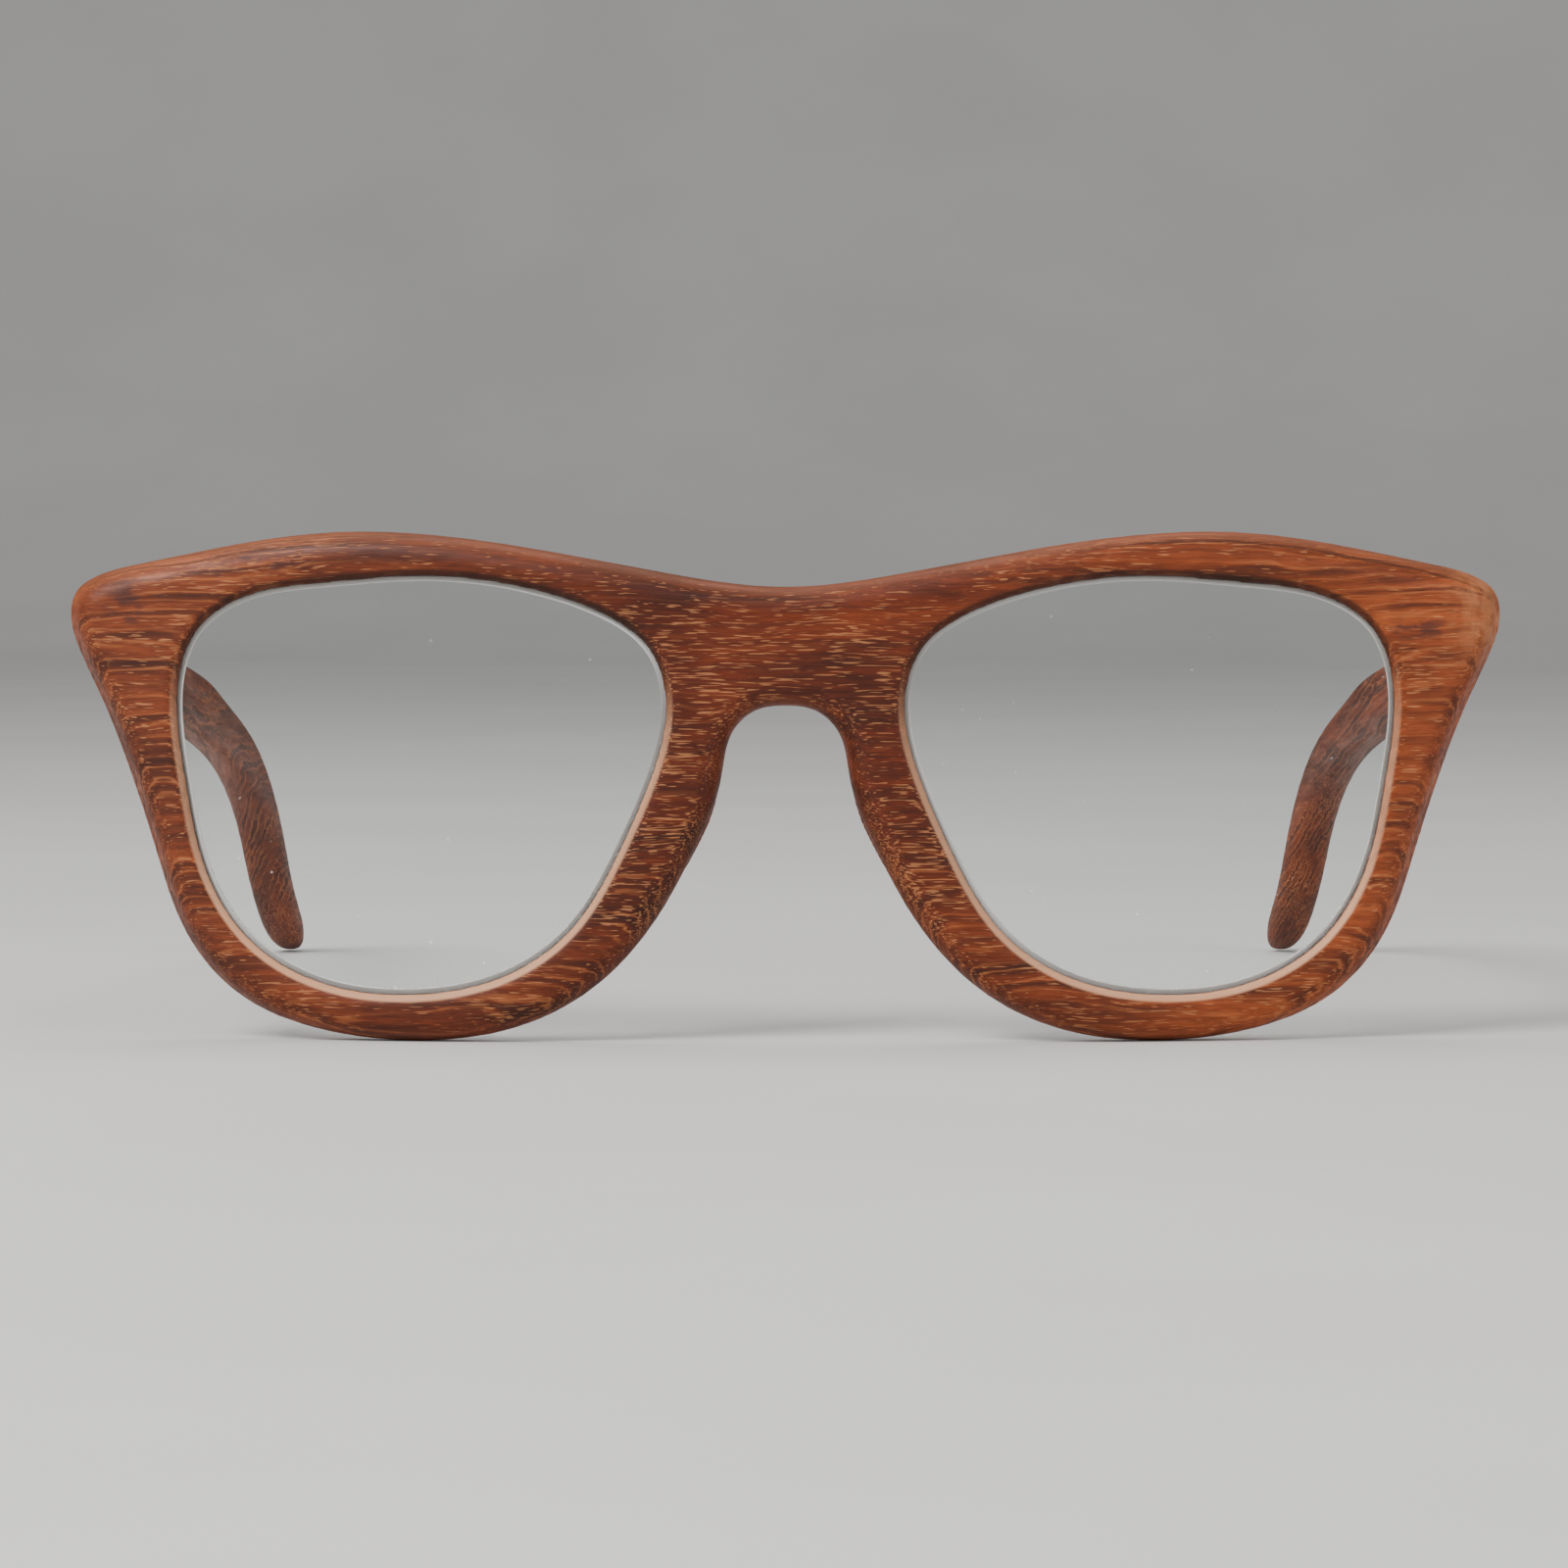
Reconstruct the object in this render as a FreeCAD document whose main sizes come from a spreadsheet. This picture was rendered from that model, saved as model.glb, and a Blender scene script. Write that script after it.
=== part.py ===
import FreeCAD, Part
import math
import os
import Sketcher
from FreeCAD import Placement, Rotation, Vector

# Wooden eyeglasses, open, standing on a flat table.
# Millimetres. X runs across the face (the wearer's left is +X), the front faces -Y, Z is up and
# Z = 0 is the table. The origin is the centre of the footprint, so the foremost point of the
# front is at Y = -depth / 2. The wearer's left side is modelled and the right side mirrors it.

SIZES = {
    # the whole object
    "depth": 137.36,
    # the curved front
    "face_radius": 320.0,
    "front_height": 56.0,
    "front_thickness": 4.5,
    "opening_bevel": 0.8,
    # the end pieces: flat backs that the temples close against
    "butt_depth": 13.5,
    "end_piece_low": 33.4,
    "end_piece_tall": 18.0,
    # lenses with a bevelled edge that sits in a groove
    "lens_depth": 1.3,
    "lens_thickness": 2.0,
    "lens_bevel": 0.9,
    "groove_width": 1.3,
    # hinge: pivot axis, front leaf, knuckles
    "pivot_across": 66.0,
    "pivot_back": 2.0,
    "pivot_up": 39.2,
    "pivot_radius": 0.7,
    "running_gap": 0.04,
    "knuckle_radius": 1.3,
    "knuckle_stack": 4.6,
    "middle_knuckle": 1.8,
    "middle_gap": 1.9,
    "leaf_width": 4.2,
    "leaf_tall": 9.2,
    "leaf_thickness": 1.0,
    # spring case on the temple
    "case_start": 2.2,
    "case_length": 13.4,
    "case_tall": 4.0,
    "case_inner": 1.45,
    "case_chamfer": 0.4,
    "seat_across": 1.8,
    "flange_length": 10.4,
    "flange_thickness": 0.9,
    "channel_across": 1.7,
    "channel_tall": 1.6,
    "channel_length": 12.6,
    # slider, guide block and spring inside the case
    "bar_across": 1.6,
    "bar_tall": 1.5,
    "bar_end": 5.0,
    "guide_start": 5.2,
    "guide_length": 1.4,
    "stem_radius": 0.4,
    "stem_end": 14.0,
    "stem_head_radius": 0.72,
    "stem_head_length": 0.5,
    "spring_radius": 0.7,
    "wire_radius": 0.12,
    # screws
    "screw_head_radius": 1.0,
    "screw_radius": 0.55,
    "screw_head": 0.45,
    "leaf_screw_length": 3.4,
    "case_screw_length": 3.6,
    "screw_slot": 0.3,
    "pivot_head_radius": 1.15,
    "pivot_head": 0.6,
    # temples
    "temple_slope": 7.0,
    "temple_gap": 0.1,
}

# Outline of the front, right half of the closed curve: (across, up), from the middle of the top
# edge round the end piece and the rim to the middle of the bridge.
FRONT_OUTLINE = [
    (0.0, 46.8), (12.0, 48.2), (24.0, 50.4), (36.0, 52.1), (46.5, 52.4), (57.0, 51.1),
    (66.5, 49.2), (71.4, 47.9), (73.6, 46.4), (74.3, 44.2), (73.4, 40.2), (70.9, 34.9),
    (68.0, 27.6), (65.2, 19.0), (62.3, 11.1), (56.8, 4.7), (47.9, 1.0), (37.5, 0.0),
    (28.2, 1.3), (20.0, 5.4), (13.2, 12.8), (9.1, 20.3), (6.6, 27.0), (5.4, 32.0),
    (2.9, 34.2), (0.0, 34.6),
]

# Opening for the left lens, a clockwise closed curve. It starts on a nearly straight stretch of its
# top edge, where the seam of the curve does not show.
LENS_OPENING = [
    (27.5, 46.8), (37.5, 47.8), (47.5, 47.1), (55.6, 45.7), (60.7, 42.2), (62.7, 36.2),
    (61.9, 27.0), (60.0, 18.2), (55.4, 10.6), (47.1, 5.9), (38.0, 5.0), (29.0, 6.9),
    (22.2, 11.6), (17.0, 20.0), (13.6, 28.0), (12.3, 34.5), (14.0, 40.4), (19.4, 44.3),
]

# Left temple, one row for each section: distance behind the front, height of its centre above
# the table, its inner face across, its thickness and how tall it is.
TEMPLE_SECTIONS = [
    (13.6, 39.4, 67.5, 4.4, 8.8),
    (27.0, 37.8, 67.3, 4.5, 8.6),
    (45.0, 35.7, 66.9, 4.6, 8.1),
    (68.0, 33.4, 66.3, 4.6, 7.3),
    (88.0, 30.4, 65.2, 4.6, 6.7),
    (105.0, 26.6, 64.0, 4.8, 6.2),
    (115.5, 22.4, 62.9, 5.0, 6.0),
    (122.4, 17.2, 62.0, 5.0, 5.9),
    (126.8, 11.2, 61.2, 5.0, 5.7),
    (130.8, 5.8, 60.4, 4.8, 5.3),
    (134.4, 2.6, 59.9, 4.2, 4.4),
    (136.7, 1.1, 60.2, 2.6, 2.4),
]

# Left nose pad where it meets the rim: its nose side follows the rim and stands proud of it.
PAD_NOSE_SIDE = [
    (14.2, 12.2), (11.3, 15.5), (9.2, 19.0), (7.3, 23.0), (6.1, 27.0), (5.6, 30.5), (6.4, 32.4),
]
PAD_RIM_SIDE = [(8.6, 30.6), (10.6, 26.0), (13.2, 19.6), (15.4, 14.0)]

# The outline's curve starts at this point, on a nearly straight stretch.
OUTLINE_START = 2

LENS_BITE = 0.5
GROOVE_BITE = 0.6
SPRING_TURNS = 11
LEAF_SCREWS = (3.45, -3.45)
CASE_SCREWS = (18.4, 23.4)

doc = FreeCAD.newDocument("wooden_eyeglasses")
sheet = doc.addObject("Spreadsheet::Sheet", "sizes")
for row, (alias, size) in enumerate(SIZES.items(), 1):
    sheet.set(f"A{row}", alias)
    sheet.set(f"B{row}", str(size))
    sheet.setAlias(f"B{row}", alias)
doc.recompute()

FRONT_Y = -SIZES["depth"] / 2
PIVOT = Vector(SIZES["pivot_across"], FRONT_Y + SIZES["butt_depth"] + SIZES["pivot_back"],
               SIZES["pivot_up"])
SLOPE = Rotation(Vector(1, 0, 0), -SIZES["temple_slope"])


# ---- helpers ---------------------------------------------------------------------------------

def bind(item, **formulas):
    """Ties properties of an object to the sheet; a double underscore stands for a dot."""
    for name, formula in formulas.items():
        item.setExpression(name.replace("__", "."), formula)


def new_body(name):
    return doc.addObject("PartDesign::Body", name)


def sketch_on(body, role, name, offset=Vector(), turn=Rotation()):
    """A sketch on one of the body's own planes, moved and turned in that plane's own axes."""
    plane = next(item for item in body.Origin.OriginFeatures if item.Role == role)
    sketch = body.newObject("Sketcher::SketchObject", name)
    sketch.AttachmentSupport = (plane, [""])
    sketch.MapMode = "FlatFace"
    sketch.AttachmentOffset = Placement(offset, turn)
    return sketch


def add_loop(sketch, edges):
    """Adds a closed chain of lines and arcs and joins their ends."""
    first = sketch.GeometryCount
    sketch.addGeometry(edges, False)
    count = len(edges)
    return [first + index for index in range(count)]


def polygon(sketch, points):
    corners = [Vector(x, y, 0) for x, y in points]
    edges = [Part.LineSegment(a, b) for a, b in zip(corners, corners[1:] + corners[:1])]
    lines = add_loop(sketch, edges)
    for a, b in zip(lines, lines[1:] + lines[:1]):
        sketch.addConstraint(Sketcher.Constraint("Coincident", a, 2, b, 1))
    return lines


def rectangle(sketch, left, low, right, top, /, **formulas):
    """An upright rectangle; formulas may drive left, low, width and height."""
    lines = polygon(sketch, [(left, low), (right, low), (right, top), (left, top)])
    for index, kind in enumerate(["Horizontal", "Vertical", "Horizontal", "Vertical"]):
        sketch.addConstraint(Sketcher.Constraint(kind, lines[index]))
    drives = {
        "left": Sketcher.Constraint("DistanceX", -1, 1, lines[0], 1, left),
        "low": Sketcher.Constraint("DistanceY", -1, 1, lines[0], 1, low),
        "width": Sketcher.Constraint("DistanceX", lines[0], 1, lines[0], 2, right - left),
        "height": Sketcher.Constraint("DistanceY", lines[1], 1, lines[1], 2, top - low),
    }
    for name, constraint in drives.items():
        number = sketch.addConstraint(constraint)
        sketch.renameConstraint(number, name)
        if name in formulas:
            sketch.setExpression(f"Constraints.{name}", formulas[name])
    return lines


def circle(sketch, x, y, radius, formula=None):
    number = sketch.addGeometry(Part.Circle(Vector(x, y, 0), Vector(0, 0, 1), radius), False)
    sketch.addConstraint(Sketcher.Constraint("DistanceX", -1, 1, number, 3, x))
    sketch.addConstraint(Sketcher.Constraint("DistanceY", -1, 1, number, 3, y))
    size = sketch.addConstraint(Sketcher.Constraint("Radius", number, radius))
    if formula:
        sketch.setExpression(f"Constraints[{size}]", formula)
    return number


def closed_curve(points):
    curve = Part.BSplineCurve()
    curve.interpolate(Points=[Vector(x, y, 0) for x, y in points], PeriodicFlag=True)
    return curve


def grown(points, distance):
    """The points of a clockwise closed curve, moved outwards square to the curve."""
    curve = closed_curve(points)
    moved = []
    for x, y in points:
        tangent = curve.tangent(curve.parameter(Vector(x, y, 0)))[0]
        moved.append((x - tangent.y * distance, y + tangent.x * distance))
    return moved


def pad(body, sketch, length, formula=None, reverse=False, both_ways=False):
    feature = body.newObject("PartDesign::Pad", f"{sketch.Name}_pad")
    feature.Profile = sketch
    feature.Length = length
    feature.Reversed = reverse
    feature.Midplane = both_ways
    if formula:
        feature.setExpression("Length", formula)
    sketch.Visibility = False
    doc.recompute()
    return feature


def pocket(body, sketch, length=None, formula=None, reverse=False, both_ways=False):
    """A pocket, through everything when it is given no length."""
    feature = body.newObject("PartDesign::Pocket", f"{sketch.Name}_cut")
    feature.Profile = sketch
    if length is None:
        feature.Type = "ThroughAll"
    else:
        feature.Length = length
    feature.Reversed = reverse
    feature.Midplane = both_ways
    if formula:
        feature.setExpression("Length", formula)
    doc.recompute()
    return feature


def dress(body, kind, size, wanted, formula):
    """A fillet or chamfer on the edges of the body's tip that `wanted` picks."""
    tip = body.Tip
    names = [f"Edge{n}" for n, edge in enumerate(tip.Shape.Edges, 1) if wanted(edge)]
    feature = body.newObject(f"PartDesign::{kind}", f"{body.Name}_{kind.lower()}")
    feature.Base = (tip, names)
    name = "Radius" if kind == "Fillet" else "Size"
    setattr(feature, name, size)
    feature.setExpression(name, formula)
    doc.recompute()
    return feature


def cut(name, base, tools):
    """A Part cut of one object by one or more tools."""
    tool = tools[0]
    if len(tools) > 1:
        tool = doc.addObject("Part::MultiFuse", f"{name}_tools")
        tool.Shapes = tools
    result = doc.addObject("Part::Cut", name)
    result.Base = base
    result.Tool = tool
    doc.recompute()
    return result


def mirrored(source, name):
    """The right-hand twin of a left-hand piece."""
    twin = doc.addObject("Part::Mirroring", name)
    twin.Source = source
    twin.Normal = (1, 0, 0)
    doc.recompute()
    return twin


# ---- curved plates: the front, the lenses and the lens grooves -----------------------------------

def plan_of_plate(body, depth, thickness, reach, low):
    """Plan of an upright plate bent about the face's axis, its front `depth` behind the face."""
    outer = SIZES["face_radius"] - depth
    centre = Vector(0, FRONT_Y + SIZES["face_radius"], 0)
    sketch = sketch_on(body, "XY_Plane", f"{body.Name}_plan", Vector(0, 0, low))
    arcs = []
    for radius in (outer, outer - thickness):
        angles = [-math.pi / 2 + math.asin(x / radius) for x in reach]
        arcs.append(Part.ArcOfCircle(Part.Circle(centre, Vector(0, 0, 1), radius), *angles))
    front, back = arcs
    sketch.addGeometry([front, Part.LineSegment(front.EndPoint, back.EndPoint),
                        back, Part.LineSegment(back.StartPoint, front.StartPoint)], False)
    first, right, last, left = range(4)
    sketch.addConstraint([
        Sketcher.Constraint("Coincident", first, 2, right, 1),
        Sketcher.Constraint("Coincident", right, 2, last, 2),
        Sketcher.Constraint("Coincident", last, 1, left, 1),
        Sketcher.Constraint("Coincident", left, 2, first, 1),
        Sketcher.Constraint("PointOnObject", first, 3, -2),
        Sketcher.Constraint("Coincident", first, 3, last, 3),
        Sketcher.Constraint("Vertical", right),
        Sketcher.Constraint("Vertical", left),
        Sketcher.Constraint("DistanceX", -1, 1, first, 1, reach[0]),
        Sketcher.Constraint("DistanceX", -1, 1, first, 2, reach[1]),
    ])
    drives = [
        ("DistanceY", (-1, 1, first, 3), centre.y, "sizes.face_radius - sizes.depth / 2"),
        ("Radius", (first,), outer, f"sizes.face_radius - {depth}"),
        ("Radius", (last,), outer - thickness, f"sizes.face_radius - {depth + thickness}"),
    ]
    for kind, target, size, formula in drives:
        number = sketch.addConstraint(Sketcher.Constraint(kind, *target, size))
        sketch.setExpression(f"Constraints[{number}]", formula)
    return sketch


def trim_outside(body, points, margin=4.0):
    """Cuts away everything outside a closed curve, front to back."""
    across = [x for x, _ in points]
    up = [y for _, y in points]
    sketch = sketch_on(body, "XZ_Plane", f"{body.Name}_outline")
    sketch.addGeometry(closed_curve(points), False)
    rectangle(sketch, min(across) - margin, min(up) - margin, max(across) + margin,
              max(up) + margin)
    return pocket(body, sketch, reverse=True)


def bent_plate(name, depth, thickness, points):
    """A bent plate with a closed outline: a lens, or the tool that cuts its groove."""
    body = new_body(name)
    across = [x for x, _ in points]
    up = [y for _, y in points]
    reach = (min(across) - 2, max(across) + 2)
    plan = plan_of_plate(body, depth, thickness, reach, min(up) - 2)
    pad(body, plan, max(up) - min(up) + 4)
    trim_outside(body, points)
    return body


def on_face(edge, depth):
    """True for an edge that lies on the bent surface `depth` behind the face."""
    axis_y = FRONT_Y + SIZES["face_radius"]
    wanted = SIZES["face_radius"] - depth
    spots = [edge.valueAt(edge.FirstParameter + part * (edge.LastParameter - edge.FirstParameter))
             for part in (0.1, 0.37, 0.61, 0.9)]
    return all(abs(math.hypot(spot.x, spot.y - axis_y) - wanted) < 0.02 for spot in spots)


def build_front():
    body = new_body("front_body")
    outline = FRONT_OUTLINE + [(-x, z) for x, z in reversed(FRONT_OUTLINE[1:-1])]
    outline = outline[OUTLINE_START:] + outline[:OUTLINE_START]
    plan = plan_of_plate(body, 0.0, SIZES["front_thickness"], (-78.0, 78.0), -1.0)
    pad(body, plan, SIZES["front_height"], "sizes.front_height")
    add_end_piece(body, 1)
    add_end_piece(body, -1)
    trim_outside(body, outline)
    for name, side in (("left", 1), ("right", -1)):
        opening = [(side * x, z) for x, z in LENS_OPENING]
        sketch = sketch_on(body, "XZ_Plane", f"{name}_opening")
        sketch.addGeometry(closed_curve(opening), False)
        pocket(body, sketch, reverse=True)
    dress(body, "Chamfer", SIZES["opening_bevel"],
          lambda edge: on_face(edge, 0.0) and edge.BoundBox.XLength < SIZES["pivot_across"],
          "sizes.opening_bevel")
    return body


def add_end_piece(body, side):
    """The thicker outer end of the front, flat at the back where the temple closes on it."""
    name = "left" if side > 0 else "right"
    back = FRONT_Y + SIZES["butt_depth"]
    sketch = sketch_on(body, "XY_Plane", f"{name}_end_piece",
                       Vector(0, 0, SIZES["end_piece_low"]))
    bind(sketch, AttachmentOffset__Base__z="sizes.end_piece_low")
    inner = Vector(side * 53.5, FRONT_Y + 8.4, 0)
    middle = Vector(side * 58.2, FRONT_Y + 10.2, 0)
    corner = Vector(side * 60.6, back, 0)
    outer = Vector(side * 76.0, back, 0)
    buried = Vector(side * 76.0, FRONT_Y + 10.8, 0)
    sketch.addGeometry([Part.Arc(inner, middle, corner), Part.LineSegment(corner, outer),
                        Part.LineSegment(outer, buried), Part.LineSegment(buried, inner)], False)
    pad(body, sketch, SIZES["end_piece_tall"], "sizes.end_piece_tall")


def build_lens():
    front = SIZES["lens_depth"]
    back = front + SIZES["lens_thickness"]
    body = bent_plate("left_lens", front, SIZES["lens_thickness"],
                      grown(LENS_OPENING, LENS_BITE))
    dress(body, "Chamfer", SIZES["lens_bevel"],
          lambda edge: on_face(edge, front) or on_face(edge, back), "sizes.lens_bevel")
    return body


def build_groove(name):
    width = SIZES["groove_width"]
    depth = SIZES["lens_depth"] + SIZES["lens_thickness"] / 2 - width / 2
    return bent_plate(name, depth, width, grown(LENS_OPENING, GROOVE_BITE))


def build_nose_pad():
    """A carved pad glued behind the nasal rim; it narrows and leans away towards the back."""
    body = new_body("left_nose_pad")
    loop = PAD_NOSE_SIDE + PAD_RIM_SIDE
    centre_x = sum(x for x, _ in loop) / len(loop)
    centre_z = sum(z for _, z in loop) / len(loop)
    start = FRONT_Y + 3.0
    sections = []
    for number, (back, size, lean) in enumerate([(0.0, 1.0, 0.0), (3.5, 0.94, 0.7),
                                                 (6.5, 0.74, 2.2)]):
        sketch = sketch_on(body, "XZ_Plane", f"pad_section_{number}",
                           Vector(0, 0, -(start + back)))
        points = [(centre_x + lean + (x - centre_x) * size, centre_z + (z - centre_z) * size)
                  for x, z in loop]
        sketch.addGeometry(closed_curve(points), False)
        sections.append(sketch)
    loft = body.newObject("PartDesign::AdditiveLoft", "pad_loft")
    loft.Profile = sections[0]
    loft.Sections = sections[1:]
    doc.recompute()
    # the front of the pad is hollowed to the bent back of the rim
    plan = plan_of_plate(body, -4.0, SIZES["front_thickness"] + 4.0, (0.0, 24.0), 5.0)
    pocket(body, plan, 30.0, reverse=True)
    return body


# ---- temples -------------------------------------------------------------------------------------

def rounded_section(sketch, width, tall):
    """A rounded rectangle centred on the sketch's origin."""
    radius = 0.4 * min(width, tall)
    x = width / 2
    y = tall / 2
    axis = Vector(0, 0, 1)
    corners = [(x - radius, y - radius, 0), (radius - x, y - radius, 1),
               (radius - x, radius - y, 2), (x - radius, radius - y, 3)]
    arcs = [Part.ArcOfCircle(Part.Circle(Vector(a, b, 0), axis, radius),
                             quarter * math.pi / 2, (quarter + 1) * math.pi / 2)
            for a, b, quarter in corners]
    edges = []
    for arc, following in zip(arcs, arcs[1:] + arcs[:1]):
        edges += [arc, Part.LineSegment(arc.EndPoint, following.StartPoint)]
    sketch.addGeometry(edges, False)
    count = len(edges)
    for number in range(count):
        sketch.addConstraint(Sketcher.Constraint("Coincident", number, 2,
                                                 (number + 1) % count, 1))


def section_pitch(number):
    """How steeply the temple falls at a section, from its neighbours; the first is upright."""
    if number == 0:
        return 0.0
    before = TEMPLE_SECTIONS[number - 1]
    after = TEMPLE_SECTIONS[min(number + 1, len(TEMPLE_SECTIONS) - 1)]
    return math.degrees(math.atan2(before[1] - after[1], after[0] - before[0]))


def build_temple_wood():
    body = new_body("temple_body")
    sections = []
    for number, (back, up, inner, width, tall) in enumerate(TEMPLE_SECTIONS):
        place = Vector(inner + width / 2, up, -(FRONT_Y + back))
        turn = Rotation(Vector(1, 0, 0), -section_pitch(number))
        sketch = sketch_on(body, "XZ_Plane", f"temple_section_{number}", place, turn)
        rounded_section(sketch, width, tall)
        sections.append(sketch)
    loft = body.newObject("PartDesign::AdditiveLoft", "temple_loft")
    loft.Profile = sections[0]
    loft.Sections = sections[1:]
    doc.recompute()
    return body


# ---- hinge: each piece is drawn about the pivot, with +Y along the temple -----------------------

def at_pivot(item, along_temple):
    """Places a hinge piece on the pivot; pieces of the case also lean with the temple."""
    item.Placement = Placement(PIVOT, SLOPE if along_temple else Rotation())
    bind(item, Placement__Base__x="sizes.pivot_across",
         Placement__Base__y="sizes.butt_depth + sizes.pivot_back - sizes.depth / 2",
         Placement__Base__z="sizes.pivot_up")
    doc.recompute()
    return item


def knuckle_profile(sketch, bore, foot=None):
    """A round eye with its bore; with a foot it has a straight web down to y = -foot."""
    radius = SIZES["knuckle_radius"]
    if foot is None:
        circle(sketch, 0, 0, radius, "sizes.knuckle_radius")
    else:
        arc = Part.ArcOfCircle(Part.Circle(Vector(), Vector(0, 0, 1), radius), 0, math.pi)
        left = Vector(-radius, -foot, 0)
        right = Vector(radius, -foot, 0)
        sketch.addGeometry([arc, Part.LineSegment(arc.EndPoint, left),
                            Part.LineSegment(left, right),
                            Part.LineSegment(right, arc.StartPoint)], False)
    circle(sketch, 0, 0, bore)


def build_front_leaf():
    """Plate let into the end piece, with the upper and lower knuckles standing on it."""
    body = new_body("left_leaf_body")
    back = SIZES["pivot_back"]
    half_width = SIZES["leaf_width"] / 2
    half_tall = SIZES["leaf_tall"] / 2
    plate = sketch_on(body, "XZ_Plane", "leaf_plate", Vector(0, 0, back))
    bind(plate, AttachmentOffset__Base__z="sizes.pivot_back")
    rectangle(plate, -half_width, -half_tall, half_width, half_tall,
              width="sizes.leaf_width", height="sizes.leaf_tall")
    pad(body, plate, SIZES["leaf_thickness"], "sizes.leaf_thickness")
    eyes = sketch_on(body, "XY_Plane", "leaf_knuckles")
    knuckle_profile(eyes, SIZES["pivot_radius"], back)
    pad(body, eyes, SIZES["knuckle_stack"], "sizes.knuckle_stack", both_ways=True)
    half_gap = SIZES["middle_gap"] / 2
    gap = sketch_on(body, "XZ_Plane", "leaf_gap", Vector(0, 0, back))
    rectangle(gap, -3, -half_gap, 3, half_gap, height="sizes.middle_gap")
    pocket(body, gap)
    return at_pivot(body, False)


def build_slider():
    """Middle knuckle, flat bar and stem, with a head on the stem that holds the spring."""
    body = new_body("left_hinge_slider")
    eye = sketch_on(body, "XY_Plane", "slider_knuckle")
    bore = SIZES["pivot_radius"] + SIZES["running_gap"]
    knuckle_profile(eye, bore)
    pad(body, eye, SIZES["middle_knuckle"], "sizes.middle_knuckle", both_ways=True)
    turn = Rotation(Vector(1, 0, 0), -SIZES["temple_slope"])

    def along(name, distance):
        """A sketch square to the temple, `distance` behind the pivot."""
        step = turn.multVec(Vector(0, 0, -distance))
        return sketch_on(body, "XZ_Plane", name, step, turn)

    bar = along("slider_bar", 1.0)
    half_across = SIZES["bar_across"] / 2
    half_tall = SIZES["bar_tall"] / 2
    rectangle(bar, -half_across, -half_tall, half_across, half_tall,
              width="sizes.bar_across", height="sizes.bar_tall")
    pad(body, bar, SIZES["bar_end"] - 1.0, "sizes.bar_end - 1", reverse=True)
    stem = along("slider_stem", SIZES["bar_end"] - 0.2)
    circle(stem, 0, 0, SIZES["stem_radius"], "sizes.stem_radius")
    pad(body, stem, SIZES["stem_end"] - SIZES["bar_end"] + 0.2,
        "sizes.stem_end - sizes.bar_end + 0.2", reverse=True)
    head = along("slider_head", SIZES["stem_end"] - SIZES["stem_head_length"])
    circle(head, 0, 0, SIZES["stem_head_radius"], "sizes.stem_head_radius")
    pad(body, head, SIZES["stem_head_length"], "sizes.stem_head_length", reverse=True)
    # the bar starts inside the eye, so the bore is opened again
    clear = sketch_on(body, "XY_Plane", "slider_bore")
    circle(clear, 0, 0, bore)
    pocket(body, clear, 6.0, both_ways=True)
    return at_pivot(body, False)


def build_case():
    """Spring case with its slider channel, and the flange that takes two screws."""
    body = new_body("left_case_body")
    start = SIZES["case_start"]
    length = SIZES["case_length"]
    half_tall = SIZES["case_tall"] / 2
    seat = SIZES["seat_across"]
    side = sketch_on(body, "YZ_Plane", "case_side", Vector(0, 0, seat))
    bind(side, AttachmentOffset__Base__z="sizes.seat_across")
    rectangle(side, start, -half_tall, start + length, half_tall, left="sizes.case_start",
              width="sizes.case_length", height="sizes.case_tall")
    pad(body, side, seat + SIZES["case_inner"], "sizes.seat_across + sizes.case_inner",
        reverse=True)
    dress(body, "Chamfer", SIZES["case_chamfer"],
          lambda edge: abs(edge.CenterOfMass.x + SIZES["case_inner"]) < 0.01,
          "sizes.case_chamfer")
    flange = sketch_on(body, "YZ_Plane", "case_flange", Vector(0, 0, seat))
    bind(flange, AttachmentOffset__Base__z="sizes.seat_across")
    end = start + length
    reach = SIZES["flange_length"]
    rectangle(flange, end - 1, -half_tall, end + reach, half_tall,
              width="sizes.flange_length + 1", height="sizes.case_tall")
    pad(body, flange, SIZES["flange_thickness"], "sizes.flange_thickness", reverse=True)
    mouth = sketch_on(body, "XZ_Plane", "case_channel", Vector(0, 0, -start))
    half_across = SIZES["channel_across"] / 2
    half_channel = SIZES["channel_tall"] / 2
    rectangle(mouth, -half_across, -half_channel, half_across, half_channel,
              width="sizes.channel_across", height="sizes.channel_tall")
    pocket(body, mouth, SIZES["channel_length"], "sizes.channel_length")
    return at_pivot(body, True)


def build_guide():
    """Block fixed in the channel; the stem slides through it and the spring bears on it."""
    body = new_body("left_hinge_guide")
    sketch = sketch_on(body, "XZ_Plane", "guide_block", Vector(0, 0, -SIZES["guide_start"]))
    half_across = SIZES["channel_across"] / 2
    half_tall = SIZES["channel_tall"] / 2
    rectangle(sketch, -half_across, -half_tall, half_across, half_tall,
              width="sizes.channel_across", height="sizes.channel_tall")
    circle(sketch, 0, 0, SIZES["stem_radius"] + SIZES["running_gap"],
           "sizes.stem_radius + sizes.running_gap")
    pad(body, sketch, SIZES["guide_length"], "sizes.guide_length", reverse=True)
    return at_pivot(body, True)


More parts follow.
